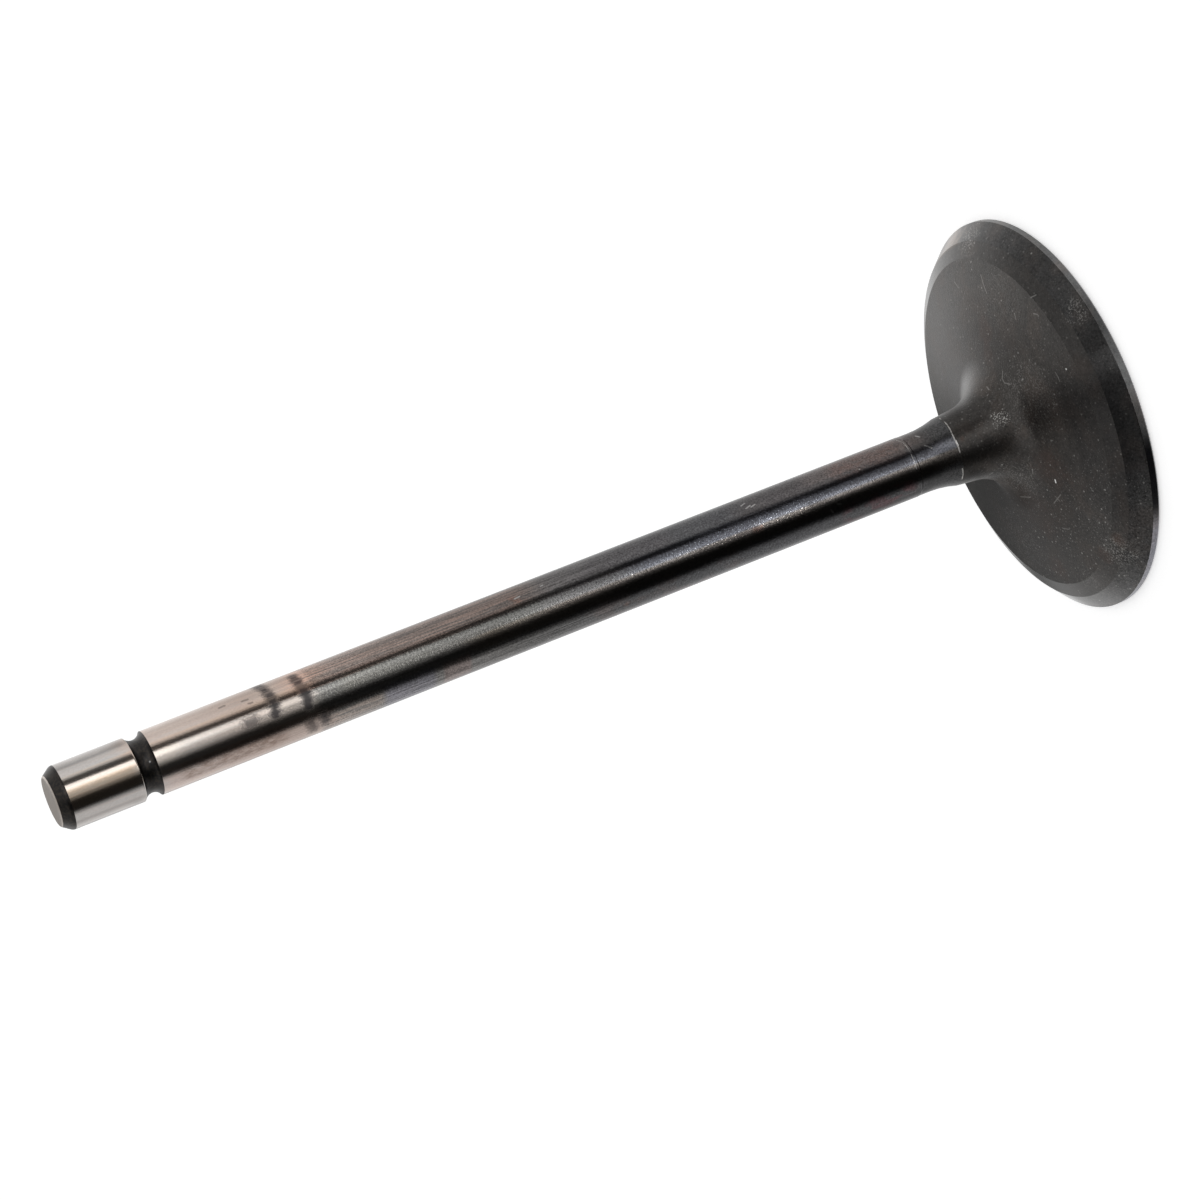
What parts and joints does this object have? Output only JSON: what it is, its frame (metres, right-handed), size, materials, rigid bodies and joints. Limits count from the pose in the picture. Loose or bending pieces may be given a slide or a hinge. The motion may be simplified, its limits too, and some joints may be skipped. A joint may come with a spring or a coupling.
{
  "type": "engine valve",
  "caption": "Poppet valve for a piston engine: a flared round head with a ground seat on a long plain stem with a keeper groove near its tip.",
  "frame": {"origin": "centre of the flat combustion face, which the valve stands on", "axes": "+Z along the stem from the head to the tip; X and Y lie in the combustion face"},
  "size_m": [0.052, 0.052, 0.1362],
  "materials": {
    "valve_steel": "dark nitrided steel, matt on the forged head and glossy on the ground stem, bare bright steel at the tip end"
  },
  "bodies": {
    "root": {"valve": "valve_steel"}
  },
  "joints": []
}
